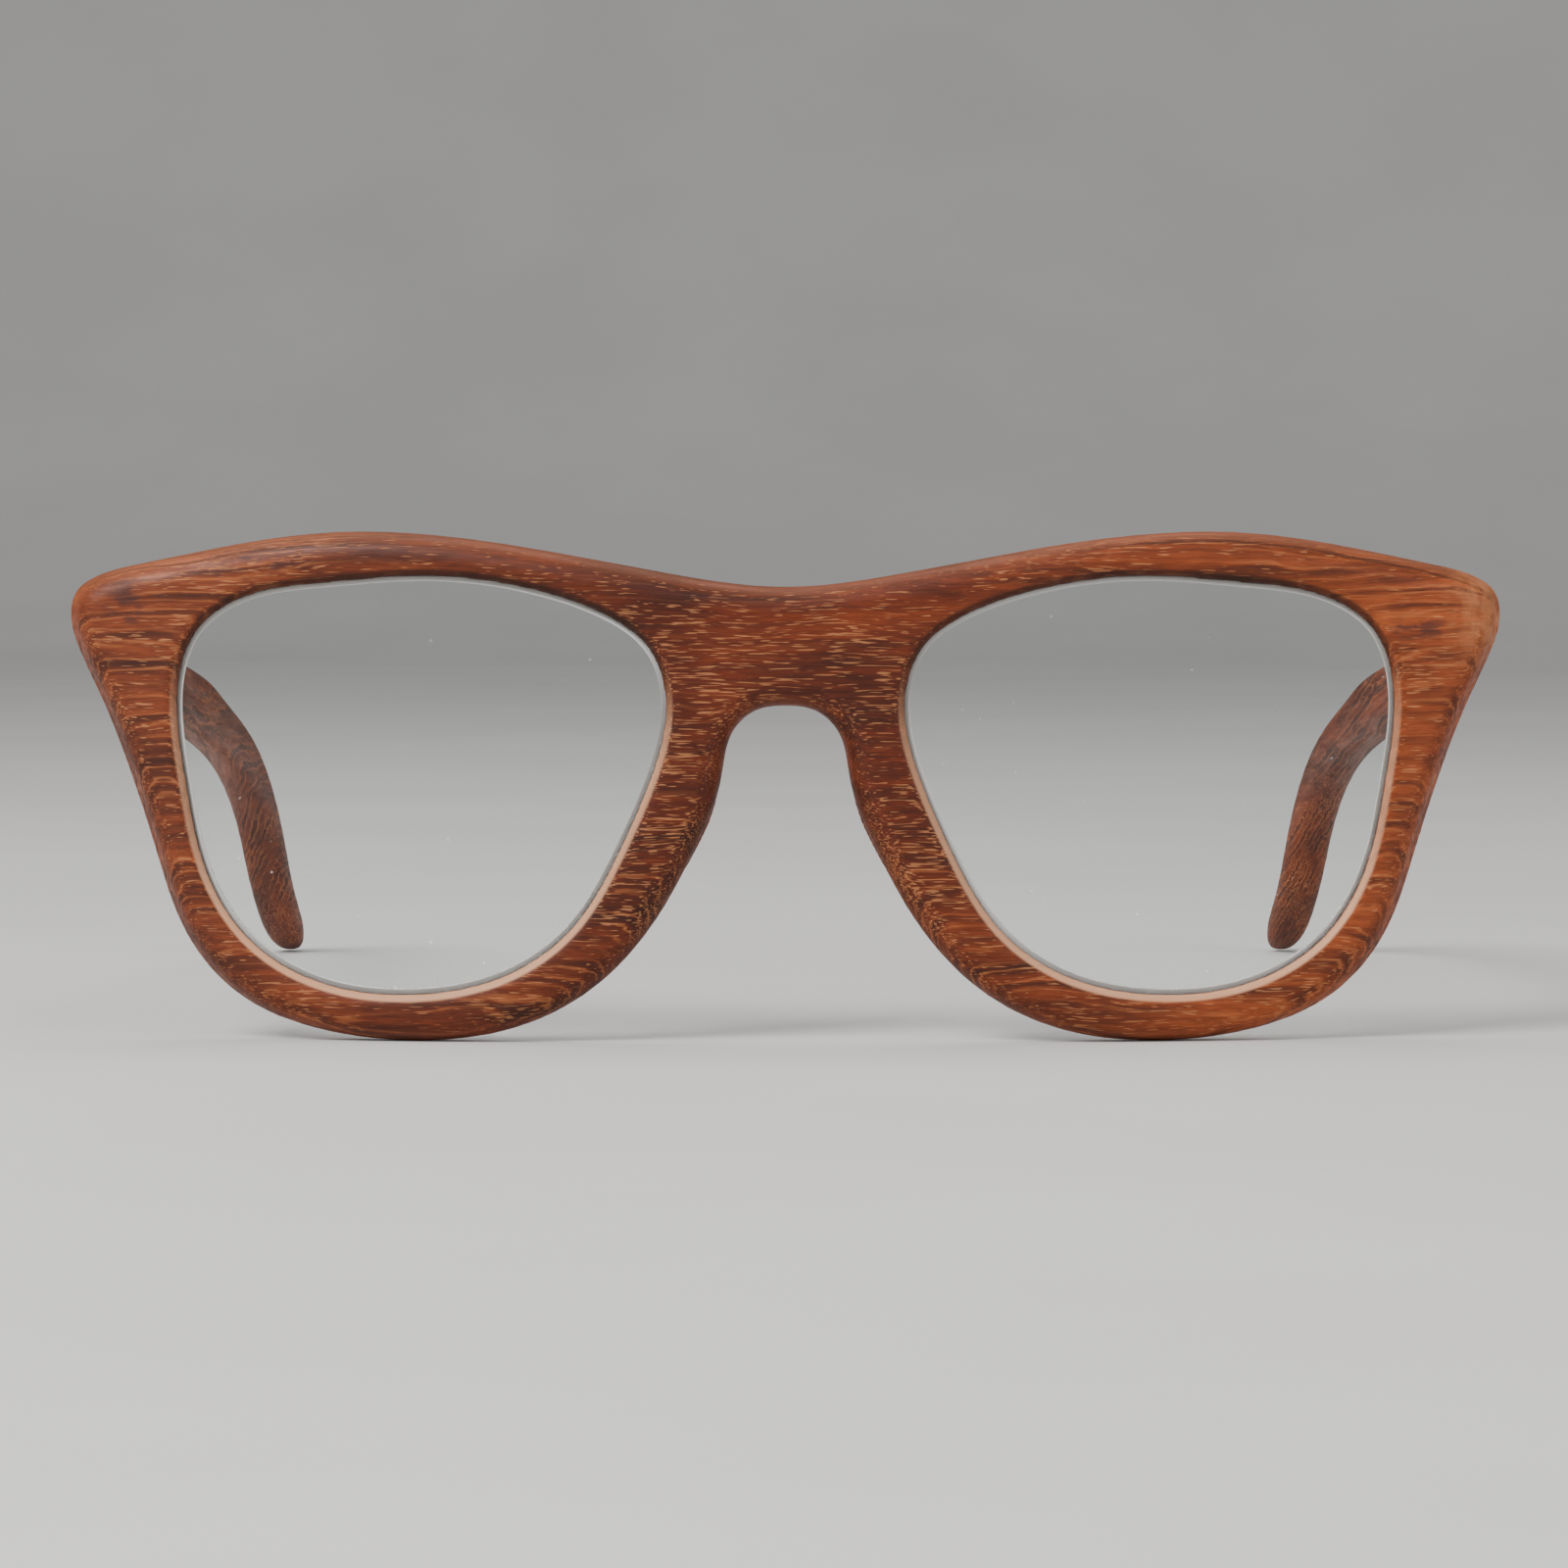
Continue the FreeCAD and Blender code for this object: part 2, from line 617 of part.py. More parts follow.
def build_spring():
    """Round-wire coil between the guide block and the head of the stem."""
    wire = SIZES["wire_radius"]
    start = SIZES["guide_start"] + SIZES["guide_length"] + wire + 0.02
    end = SIZES["stem_end"] - SIZES["stem_head_length"] - wire - 0.02
    coil = doc.addObject("Part::Helix", "spring_path")
    coil.Radius = SIZES["spring_radius"] - wire
    coil.Pitch = (end - start) / SPRING_TURNS
    coil.Height = end - start
    coil.Placement = Placement(Vector(0, start, 0), Rotation(Vector(1, 0, 0), -90))
    doc.recompute()
    begin = coil.Shape.Vertexes[0].Point
    ring = doc.addObject("Part::Circle", "spring_wire")
    ring.Radius = wire
    ring.Placement = Placement(begin, Rotation(Vector(1, 0, 0), 0))
    spring = doc.addObject("Part::Sweep", "left_hinge_spring")
    spring.Sections = [ring]
    spring.Spine = (coil, ["Edge1"])
    spring.Solid = True
    spring.Frenet = True
    doc.recompute()
    return at_pivot(spring, True)


def screw_blank(name, head_radius, radius, head, length, place):
    """Countersunk screw without its slot; local +Z points into the wood."""
    cone = doc.addObject("Part::Cone", f"{name}_head")
    cone.Radius1 = head_radius
    cone.Radius2 = radius
    cone.Height = head
    shank = doc.addObject("Part::Cylinder", f"{name}_shank")
    shank.Radius = radius
    shank.Height = length
    blank = doc.addObject("Part::Fuse", f"{name}_blank")
    blank.Base = cone
    blank.Tool = shank
    blank.Placement = place
    return blank


def screw_set(name, length, places):
    """The tool that makes the holes for a pair of screws, and the slotted screws themselves."""
    blanks = []
    screws = []
    slot_width = SIZES["screw_slot"]
    for number, place in enumerate(places):
        label = f"{name}_{number}"
        blank = screw_blank(label, SIZES["screw_head_radius"], SIZES["screw_radius"],
                            SIZES["screw_head"], length, place)
        bind(doc.getObject(f"{label}_shank"), Radius="sizes.screw_radius")
        slot = doc.addObject("Part::Box", f"{label}_slot")
        slot.Length = 3
        slot.Width = slot_width
        slot.Height = slot_width
        slot.Placement = place.multiply(Placement(Vector(-1.5, -slot_width / 2, 0), Rotation()))
        screw = doc.addObject("Part::Cut", f"{label}_screw")
        screw.Base = blank
        screw.Tool = slot
        blanks.append(blank)
        screws.append(screw)
    holes = doc.addObject("Part::Compound", f"{name}_holes")
    holes.Links = blanks
    group = doc.addObject("Part::Compound", name)
    group.Links = screws
    doc.recompute()
    return holes, group


def build_pivot_screw():
    """Screw down through the three knuckles, with a slotted head on top."""
    top = SIZES["knuckle_stack"] / 2
    shaft = doc.addObject("Part::Cylinder", "pivot_shaft")
    shaft.Height = SIZES["knuckle_stack"] + 0.1
    shaft.Placement = Placement(Vector(0, 0, -top), Rotation())
    bind(shaft, Radius="sizes.pivot_radius")
    head = doc.addObject("Part::Cylinder", "pivot_head")
    head.Placement = Placement(Vector(0, 0, top), Rotation())
    bind(head, Radius="sizes.pivot_head_radius", Height="sizes.pivot_head")
    blank = doc.addObject("Part::Fuse", "pivot_blank")
    blank.Base = shaft
    blank.Tool = head
    slot = doc.addObject("Part::Box", "pivot_slot")
    slot.Length = 3
    slot.Width = SIZES["screw_slot"]
    slot.Height = 1
    slot.Placement = Placement(Vector(-1.5, -SIZES["screw_slot"] / 2,
                                      top + SIZES["pivot_head"] - 0.3), Rotation())
    screw = doc.addObject("Part::Cut", "left_hinge_pivot_screw")
    screw.Base = blank
    screw.Tool = slot
    return at_pivot(screw, False)


# ---- put the assembly together -------------------------------------------------------------------

front_body = build_front()
lens = build_lens()
nose_pad = build_nose_pad()
temple_body = build_temple_wood()
leaf_body = build_front_leaf()
slider = build_slider()
case_body = build_case()
guide = build_guide()
spring = build_spring()
pivot_screw = build_pivot_screw()

inward = Rotation(Vector(1, 0, 0), 90)
leaf_places = [Placement(PIVOT + Vector(0, -SIZES["pivot_back"], up), inward)
               for up in LEAF_SCREWS]
leaf_holes, leaf_screws = screw_set("left_hinge_leaf_screws", SIZES["leaf_screw_length"],
                                    leaf_places)
sideways = SLOPE.multiply(Rotation(Vector(0, 1, 0), 90))
flange_face = SIZES["seat_across"] - SIZES["flange_thickness"]
case_places = [Placement(PIVOT + SLOPE.multVec(Vector(flange_face, along, 0)), sideways)
               for along in CASE_SCREWS]
case_holes, case_screws = screw_set("left_hinge_case_screws", SIZES["case_screw_length"],
                                    case_places)

front_leaf = cut("left_hinge_front_leaf", leaf_body, [leaf_holes])
case = cut("left_hinge_case", case_body, [case_holes])

# recess for the leaf, and the seat for the case
recess = doc.addObject("Part::Box", "leaf_recess")
recess.Placement = Placement(PIVOT - Vector(SIZES["leaf_width"] / 2,
                                            SIZES["pivot_back"] + SIZES["leaf_thickness"],
                                            SIZES["leaf_tall"] / 2), Rotation())
bind(recess, Length="sizes.leaf_width", Width="sizes.leaf_thickness + 1",
     Height="sizes.leaf_tall")
seat = doc.addObject("Part::Box", "case_seat")
seat_start = Vector(-1.2, SIZES["case_start"] - 0.3, -SIZES["case_tall"] / 2 - 0.05)
seat.Placement = Placement(PIVOT + SLOPE.multVec(seat_start), SLOPE)
bind(seat, Length="sizes.seat_across + 1.2",
     Width="sizes.case_length + sizes.flange_length + 0.6", Height="sizes.case_tall + 0.1")
doc.recompute()

left_tools = [build_groove("left_groove"), recess, leaf_holes]
right_tools = [mirrored(tool, f"right_{tool.Name}_tool") for tool in left_tools]
front_frame = cut("front_frame", front_body, left_tools + right_tools)
temple = cut("left_temple", temple_body, [seat, case_holes])

left_nodes = [lens, nose_pad, temple, front_leaf, pivot_screw, leaf_screws, case, slider,
              guide, spring, case_screws]
nodes = [front_frame] + left_nodes
for node in left_nodes:
    nodes.append(mirrored(node, node.Name.replace("left_", "right_")))
doc.recompute()

# ---- check and export ----------------------------------------------------------------------------

for item in doc.Objects:
    if "Invalid" in item.State or "Error" in item.State:
        raise RuntimeError(f"{item.Name} did not compute: {item.getStatusString()}")
os.makedirs("parts", exist_ok=True)
for node in nodes:
    node.Label = node.Name
    shape = node.Shape
    if shape.isNull() or not shape.isValid():
        raise RuntimeError(f"{node.Label} has no valid shape")
    shape.exportStep(f"parts/{node.Label}.step")
    box = shape.BoundBox
    print(f"{node.Label:26s} solids {len(shape.Solids)} volume {shape.Volume:9.2f}"
          f" x {box.XMin:7.2f} {box.XMax:7.2f} y {box.YMin:7.2f} {box.YMax:7.2f}"
          f" z {box.ZMin:7.2f} {box.ZMax:7.2f}")
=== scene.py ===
import math

import bpy
import numpy as np
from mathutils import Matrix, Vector
from mathutils.kdtree import KDTree


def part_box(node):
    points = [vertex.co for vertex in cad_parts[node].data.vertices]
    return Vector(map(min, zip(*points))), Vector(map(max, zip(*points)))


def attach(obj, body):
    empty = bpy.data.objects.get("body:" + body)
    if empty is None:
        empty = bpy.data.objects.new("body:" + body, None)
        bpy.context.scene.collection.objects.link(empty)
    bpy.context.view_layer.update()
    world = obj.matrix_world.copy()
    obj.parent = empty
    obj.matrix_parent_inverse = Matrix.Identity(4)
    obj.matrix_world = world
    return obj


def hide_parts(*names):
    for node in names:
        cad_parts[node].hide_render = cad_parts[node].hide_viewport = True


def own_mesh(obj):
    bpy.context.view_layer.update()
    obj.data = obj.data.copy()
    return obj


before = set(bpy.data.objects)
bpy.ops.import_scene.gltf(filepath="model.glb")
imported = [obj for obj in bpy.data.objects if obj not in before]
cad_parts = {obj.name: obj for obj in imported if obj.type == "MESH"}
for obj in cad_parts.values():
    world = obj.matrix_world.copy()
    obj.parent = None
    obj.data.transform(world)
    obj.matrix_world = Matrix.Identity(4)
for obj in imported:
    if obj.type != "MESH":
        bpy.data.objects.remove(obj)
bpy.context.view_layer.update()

# Wooden eyeglasses, in metres. The front faces -Y, the temples run back along +Y, and the
# glasses stand on z = 0. Left is the wearer's left, +X.

MM = 0.001
SIDES = ("left", "right")

# the front: a board bent to a radius in plan, with both faces' outer edges rounded over
FACE_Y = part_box("front_frame")[0].y
FACE_RADIUS = 320 * MM
FRONT_THICKNESS = 4.5 * MM
FRONT_EDGE_RADIUS = 2.8 * MM
BACK_EDGE_RADIUS = 1.3 * MM
# outside and above these it thickens into an end piece, and its back edge stays as it is
END_PIECE_INNER = 52 * MM
END_PIECE_LOW = 32 * MM
# how deep the walls of the openings and of the rim are searched for their edges
OPENING_WALL_DEPTH = 1.6 * MM
RIM_MARGIN = 0.2 * MM
# the step at the back where an end piece starts
SHOULDER_INNER = 49 * MM
SHOULDER_OUTER = 62 * MM
SHOULDER_DEPTH = 3.4 * MM

TEMPLE_SLOPE = math.radians(7.0)
TEMPLE_FALL = (0.0, math.cos(TEMPLE_SLOPE), -math.sin(TEMPLE_SLOPE))
TEMPLE_RISE = (0.0, math.sin(TEMPLE_SLOPE), math.cos(TEMPLE_SLOPE))
# how far the top of a nose pad leans into the rim, and between which heights
PAD_TUCK = 0.7 * MM
PAD_TUCK_START = 24 * MM
PAD_TUCK_END = 31 * MM

# grid size for cutting a piece anew, and rounds of smoothing after it
FRONT_GRID = 0.42 * MM
FRONT_FINE_GRID = 0.40 * MM
TEMPLE_GRID = 0.42 * MM
PAD_GRID = 0.30 * MM
FRONT_SMOOTHING = 7
SHOULDER_SMOOTHING = 24
TEMPLE_SMOOTHING = 8
PAD_SMOOTHING = 16

# millimetres, as the materials use them
RING_PERIOD = 1.4
RING_SLANT = 0.55
FAR_FROM_EDGE = 9.0

CAMERA_DISTANCE = 620 * MM
CAMERA_HEIGHT = 53.7 * MM
CAMERA_AIM_X = -0.15 * MM
CAMERA_AIM_Z = 26.7 * MM
SENSOR_WIDTH = 36.0
FOCAL_LENGTH = 139.5


# ---- mesh helpers --------------------------------------------------------------------------------

def copy_of(node, name):
    """A new object with a copy of a CAD node's mesh and no material."""
    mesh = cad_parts[node].data.copy()
    mesh.materials.clear()
    piece = bpy.data.objects.new(name, mesh)
    bpy.context.scene.collection.objects.link(piece)
    return piece


def with_modifier(piece, kind, **settings):
    """Adds one modifier and applies it straight away."""
    modifier = piece.modifiers.new(kind.lower(), kind)
    for key, value in settings.items():
        setattr(modifier, key, value)
    graph = bpy.context.evaluated_depsgraph_get()
    mesh = bpy.data.meshes.new_from_object(piece.evaluated_get(graph))
    old = piece.data
    piece.modifiers.clear()
    piece.data = mesh
    bpy.data.meshes.remove(old)
    return piece


def remesh(piece, voxel):
    return with_modifier(piece, "REMESH", mode="VOXEL", voxel_size=voxel, adaptivity=0.0)


def smooth(piece, rounds, factor=0.5):
    with_modifier(piece, "SMOOTH", iterations=rounds, factor=factor)
    piece.data.shade_smooth()
    return piece


def coordinates(mesh):
    flat = np.empty(len(mesh.vertices) * 3, np.float32)
    mesh.vertices.foreach_get("co", flat)
    return flat.reshape(-1, 3).astype(float)


def set_coordinates(mesh, points):
    mesh.vertices.foreach_set("co", points.astype(np.float32).ravel())
    mesh.update()


def wall_points(mesh, wanted, step=0.2 * MM):
    """Points along the edges of the faces that `wanted` picks by centre and normal."""
    points = []
    for face in mesh.polygons:
        if abs(face.normal.y) > 0.25 or not wanted(face.center, face.normal):
            continue
        corners = [mesh.vertices[index].co for index in face.vertices]
        for start, end in zip(corners, corners[1:] + corners[:1]):
            count = max(1, int((end - start).length / step))
            points += [start.lerp(end, index / count) for index in range(count)]
    return points


def flat_tree(points):
    """A search tree that measures distance in the plane of the face, across and up."""
    tree = KDTree(len(points))
    for index, point in enumerate(points):
        tree.insert((point.x, 0.0, point.z), index)
    tree.balance()
    return tree


def flat_distance(tree, points):
    return np.array([tree.find((x, 0.0, z))[2] for x, _, z in points])


def add_number(mesh, name, values):
    layer = mesh.attributes.new(name, "FLOAT", "POINT")
    layer.data.foreach_set("value", values.astype(np.float32))


# ---- the carved front ----------------------------------------------------------------------------

def opening_test(side):
    """Tells the wall of a lens opening from the rest: it faces the middle of its lens."""
    low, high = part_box(f"{side}_lens")
    middle = (low + high) / 2
    margin = 0.4 * MM

    def wanted(centre, normal):
        inside = (low.x - margin < centre.x < high.x + margin
                  and low.z - margin < centre.z < high.z + margin)
        towards = (middle.x - centre.x) * normal.x + (middle.z - centre.z) * normal.z
        return inside and towards > 0

    return wanted


def near_hinge(point):
    """True beside the screw holes and the recess at the back of an end piece."""
    margin = 0.5 * MM
    for side in SIDES:
        low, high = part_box(f"{side}_hinge_front_leaf")
        if low.x - margin < point.x < high.x + margin and low.z - margin < point.z < high.z + margin:
            return True
    return False


def edge_drop(distance, radius):
    """How far a rounded edge lies below the face, at a distance in from the outline."""
    inward = np.clip(radius - distance, 0.0, radius)
    return radius - np.sqrt(radius ** 2 - inward ** 2)


def build_front():
    """The front with its outer edge rounded over, as it comes from files and sandpaper."""
    piece = copy_of("front_frame", "carved_front")
    tests = [opening_test(side) for side in SIDES]

    def on_opening(centre, normal):
        return any(test(centre, normal) for test in tests)

    hole_points = [point for point in wall_points(piece.data, on_opening)
                   if depth_of(point.x, point.y) < OPENING_WALL_DEPTH]
    rim_points = [point for point in
                  wall_points(piece.data, lambda centre, normal:
                              not on_opening(centre, normal) and not near_hinge(centre))
                  if depth_of(point.x, point.y) < FRONT_THICKNESS - RIM_MARGIN]
    rim = flat_tree(rim_points)
    hole = flat_tree(hole_points)
    remesh(piece, FRONT_GRID)
    points = coordinates(piece.data)
    distance = flat_distance(rim, points)
    lowest = edge_drop(distance, FRONT_EDGE_RADIUS)
    highest = FRONT_THICKNESS - edge_drop(distance, BACK_EDGE_RADIUS)
    plain_back = (np.abs(points[:, 0]) < END_PIECE_INNER) | (points[:, 2] < END_PIECE_LOW)
    wanted = np.maximum(depth_of(points[:, 0], points[:, 1]), lowest)
    wanted = np.where(plain_back, np.minimum(wanted, highest), wanted)
    set_coordinates(piece.data, at_depth(points, wanted))
    remesh(piece, FRONT_FINE_GRID)
    ease_shoulders(piece)
    smooth(piece, FRONT_SMOOTHING)
    points = coordinates(piece.data)
    depth = depth_of(points[:, 0], points[:, 1])
    add_number(piece.data, "rim_mm", np.minimum(flat_distance(rim, points) / MM, FAR_FROM_EDGE))
    add_number(piece.data, "hole_mm", np.minimum(flat_distance(hole, points) / MM, FAR_FROM_EDGE))
    add_number(piece.data, "depth_mm", np.clip(depth / MM, 0.0, 15.0))
    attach(piece, "front")
    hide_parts("front_frame")
    return piece


def ease_shoulders(piece):
    """Softens the step where the front thickens into each end piece, clear of the hinge."""
    points = coordinates(piece.data)
    across = np.abs(points[:, 0])
    behind = depth_of(points[:, 0], points[:, 1]) > SHOULDER_DEPTH
    picked = np.nonzero((across > SHOULDER_INNER) & (across < SHOULDER_OUTER) & behind)[0]
    group = piece.vertex_groups.new(name="shoulder")
    group.add([int(index) for index in picked], 1.0, "REPLACE")
    with_modifier(piece, "SMOOTH", iterations=SHOULDER_SMOOTHING, factor=0.5,
                  vertex_group=group.name)


def depth_of(x, y):
    """How far a point lies behind the bent face."""
    return FACE_RADIUS - np.hypot(x, y - FACE_Y - FACE_RADIUS)


def at_depth(points, depth):
    """Moves points towards the axis of the bend until they lie at the given depths."""
    moved = points.copy()
    axis_y = FACE_Y + FACE_RADIUS
    reach = np.hypot(points[:, 0], points[:, 1] - axis_y)
    scale = (FACE_RADIUS - depth) / reach
    moved[:, 0] = points[:, 0] * scale
    moved[:, 1] = axis_y + (points[:, 1] - axis_y) * scale
    return moved


def build_temple(side):
    piece = copy_of(f"{side}_temple", f"{side}_carved_temple")
    remesh(piece, TEMPLE_GRID)
    smooth(piece, TEMPLE_SMOOTHING)
    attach(piece, f"{side}_arm")
    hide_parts(f"{side}_temple")
    return piece


def build_nose_pad(side):
    piece = copy_of(f"{side}_nose_pad", f"{side}_carved_pad")
    remesh(piece, PAD_GRID)
    tuck_pad_top(piece)
    smooth(piece, PAD_SMOOTHING)
    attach(piece, "front")
    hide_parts(f"{side}_nose_pad")
    return piece


def tuck_pad_top(piece):
    """Leans the top of a pad into the rim, so that the two run into one line."""
    points = coordinates(piece.data)
    rise = np.clip((points[:, 2] - PAD_TUCK_START) / (PAD_TUCK_END - PAD_TUCK_START), 0.0, 1.0)
    points[:, 0] += np.sign(points[:, 0]) * PAD_TUCK * rise * rise * (3 - 2 * rise)
    set_coordinates(piece.data, points)


def build_spring(side, material):
    """The coil inside the hinge case, carried with the temple on its slide."""
    node = f"{side}_hinge_spring"
    piece = copy_of(node, f"{side}_coil_spring")
    piece.data.shade_smooth()
    assign(piece, material)
    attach(piece, f"{side}_arm")
    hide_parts(node)
    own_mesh(piece)


# ---- shader helpers --------------------------------------------------------------------------------

class Shader:
    """A material's node tree, with one short call for each kind of node."""

    def __init__(self, name):
        self.material = bpy.data.materials.new(name)
        self.material.use_nodes = True
        self.tree = self.material.node_tree
        self.surface = self.tree.nodes["Principled BSDF"]

    def node(self, kind, inputs=(), **settings):
        item = self.tree.nodes.new(kind)
        for key, value in settings.items():
            setattr(item, key, value)
        for key, value in dict(inputs).items():
            self.put(item, key, value)
        return item

    def put(self, item, key, value):
        if isinstance(value, bpy.types.NodeSocket):
            self.tree.links.new(value, item.inputs[key])
        else:
            item.inputs[key].default_value = value

    def set(self, **inputs):
        for key, value in inputs.items():
            self.put(self.surface, key.replace("_", " "), value)

    def calc(self, kind, a, b=0.0, c=0.0, clamp=False):
        item = self.node("ShaderNodeMath", {0: a, 1: b, 2: c}, operation=kind, use_clamp=clamp)
        return item.outputs[0]

    def vector(self, kind, a, b=(0, 0, 0)):
        item = self.node("ShaderNodeVectorMath", {0: a, 1: b}, operation=kind)
        return item.outputs["Value" if kind in ("DOT_PRODUCT", "LENGTH") else "Vector"]

    def split(self, vector):
        item = self.node("ShaderNodeSeparateXYZ", {"Vector": vector})
        return [item.outputs[axis] for axis in "XYZ"]

    def join(self, x=0.0, y=0.0, z=0.0):
        item = self.node("ShaderNodeCombineXYZ", {"X": x, "Y": y, "Z": z})
        return item.outputs["Vector"]

    def grey(self, value):
        item = self.node("ShaderNodeCombineColor", {"Red": value, "Green": value, "Blue": value})
        return item.outputs[0]

    def millimetres(self):
        """Object coordinates, times a thousand."""
        raw = self.node("ShaderNodeTexCoord").outputs["Object"]
        return self.vector("MULTIPLY", raw, (1000.0, 1000.0, 1000.0))

    def facing(self):
        """The surface normal in the object's own axes, split into X, Y and Z."""
        return self.split(self.node("ShaderNodeTexCoord").outputs["Normal"])

    def noise(self, place, scale=1.0, detail=4.0, rough=0.55):
        item = self.node("ShaderNodeTexNoise", {"Vector": place, "Scale": scale,
                                                "Detail": detail, "Roughness": rough})
        return item.outputs["Fac"]

    def band(self, value, low, high, to_low=0.0, to_high=1.0):
        item = self.node("ShaderNodeMapRange", {"Value": value, "From Min": low,
                                                "From Max": high, "To Min": to_low,
                                                "To Max": to_high},
                         interpolation_type="SMOOTHSTEP")
        return item.outputs["Result"]

    def mix(self, amount, first, second, blend="MIX"):
        item = self.node("ShaderNodeMix", {0: amount, 6: first, 7: second},
                         data_type="RGBA", blend_type=blend)
        return item.outputs[2]

    def ramp(self, value, stops):
        item = self.node("ShaderNodeValToRGB", {"Fac": value})
        ramp = item.color_ramp
        while len(ramp.elements) < len(stops):
            ramp.elements.new(0.5)
        for element, (position, tint) in zip(ramp.elements, stops):
            element.position = position
            element.color = tint
        return item.outputs["Color"]

    def attribute(self, name):
        return self.node("ShaderNodeAttribute", attribute_name=name).outputs["Fac"]

    def bump(self, height, strength, distance):
        item = self.node("ShaderNodeBump", {"Height": height, "Strength": strength,
                                            "Distance": distance})
        self.put(self.surface, "Normal", item.outputs["Normal"])


def colour(red, green, blue):
    """Linear colour from 0-255 display values."""
    linear = [((c / 255 + 0.055) / 1.055) ** 2.4 if c > 10 else c / 3295 for c in
              (red, green, blue)]
    return (*linear, 1.0)


# ---- wood ------------------------------------------------------------------------------------------

def stretched(shader, place, along, deep, across, shift=(0.0, 0.0, 0.0)):
    """Grain coordinates in millimetres divided by a size in each direction."""
    scaled = shader.vector("MULTIPLY", place, (1 / along, 1 / deep, 1 / across))
    return shader.vector("ADD", scaled, shift)


def pores(shader, place, length, width, gap, density, shift):
    """Short open pores: long thin cells round random centres, and only some of them."""
    cells = stretched(shader, place, length, gap, gap, shift)
    item = shader.node("ShaderNodeTexVoronoi", {"Vector": cells, "Scale": 1.0,
                                                "Randomness": 1.0})
    near = shader.band(item.outputs["Distance"], width / gap, 0.45 * width / gap)
    pick = shader.node("ShaderNodeSeparateColor", {"Color": item.outputs["Color"]})
    chosen = shader.calc("LESS_THAN", pick.outputs[0], density)
    strength = shader.calc("MULTIPLY_ADD", pick.outputs[1], 0.6, 0.4)
    return shader.calc("MULTIPLY", shader.calc("MULTIPLY", near, chosen), strength)


def grain_place(shader, along, across):
    """The place in millimetres, and the same turned so that its X follows the fibres."""
    place = shader.millimetres()
    along = Vector(along).normalized()
    across = Vector(across).normalized()
    deep = across.cross(along)
    turned = [shader.vector("DOT_PRODUCT", place, tuple(axis)) for axis in (along, deep, across)]
    return place, shader.join(*turned)


def spot(shader, place, centre, size, soft):
    """1 near a point (in millimetres), falling to 0 at `size` from it."""
    offset = shader.vector("SUBTRACT", place, centre)
    squeezed = shader.vector("DIVIDE", offset, size)
    return shader.band(shader.vector("LENGTH", squeezed), 1.0, soft)


def tinted(shader, base, amount, factors):
    """The base colour, multiplied by one factor for each channel where `amount` is 1."""
    return shader.mix(amount, base, (*factors, 1.0), "MULTIPLY")


def wavy(shader, grain):
    """Grain coordinates that wander, as fibres do round knots and branches."""
    wander = shader.noise(stretched(shader, grain, 42.0, 13.0, 13.0), detail=3.0)
    wander = shader.calc("MULTIPLY", shader.calc("SUBTRACT", wander, 0.5), 3.2)
    return shader.vector("ADD", grain, shader.join(y=wander, z=wander))


def heartwood(shader, bent, streak, fibre):
    """The ground colour: broad tones, streaks and fine fibres."""
    tone = shader.noise(stretched(shader, bent, 26.0, 5.0, 5.0), detail=4.0, rough=0.6)
    body = shader.calc("MULTIPLY_ADD", streak, 0.40, shader.calc("MULTIPLY", tone, 0.60))
    base = shader.ramp(body, [
        (0.30, colour(50, 19, 8)), (0.42, colour(76, 30, 12)), (0.51, colour(98, 40, 16)),
        (0.61, colour(117, 51, 22)), (0.74, colour(140, 68, 32)),
    ])
    fine = shader.band(fibre, 0.35, 0.68, 0.78, 1.16)
    return shader.mix(1.0, base, shader.grey(fine), "MULTIPLY")


def front_tones(shader, base, side):
    """The board is golden at its left end, a little paler at its right, dark at the nose."""
    base = tinted(shader, base, shader.band(side, 12.0, 62.0), (1.66, 1.82, 1.60))
    base = tinted(shader, base, shader.band(side, -30.0, -62.0), (1.12, 1.25, 1.45))
    middle = shader.band(shader.calc("ABSOLUTE", side), 24.0, 12.0)
    base = tinted(shader, base, middle, (0.80, 0.70, 0.64))
    right_of_nose = shader.calc("MULTIPLY", shader.band(side, -5.0, -11.0),
                                shader.band(side, -32.0, -22.0))
    return tinted(shader, base, right_of_nose, (0.72, 0.68, 0.62))


def front_ring_strength(shader, strength, side, up):
    """Growth rings show best on the outer and lower rims, where the board is cut across."""
    outer = shader.band(shader.calc("ABSOLUTE", side), 36.0, 50.0)
    lower = shader.band(up, 24.0, 12.0)
    ringed = shader.calc("MAXIMUM", outer, lower)
    return shader.calc("MULTIPLY", strength, shader.calc("MULTIPLY_ADD", ringed, 0.8, 0.2))


def growth_rings(shader, base, bent, streak, strength):
    """Dark late-wood lines, each with a pale line beside it."""
    _, deep, across = shader.split(bent)
    layer = shader.calc("MULTIPLY_ADD", across, RING_SLANT, deep)
    rough_layer = shader.calc("MULTIPLY_ADD", shader.calc("SUBTRACT", streak, 0.5), 1.0, layer)
    wave = shader.calc("SINE", shader.calc("MULTIPLY", rough_layer, 2 * math.pi / RING_PERIOD))
    ring = shader.calc("MULTIPLY", shader.band(wave, 0.50, 1.0),
                       shader.calc("MULTIPLY", strength, 0.62))
    base = shader.mix(ring, base, colour(46, 20, 12))
    lip = shader.calc("MULTIPLY", shader.band(wave, -0.35, 0.1),
                      shader.band(wave, 0.55, 0.2, 0.0, 0.42))
    return shader.mix(shader.calc("MULTIPLY", lip, strength), base, colour(178, 106, 60))


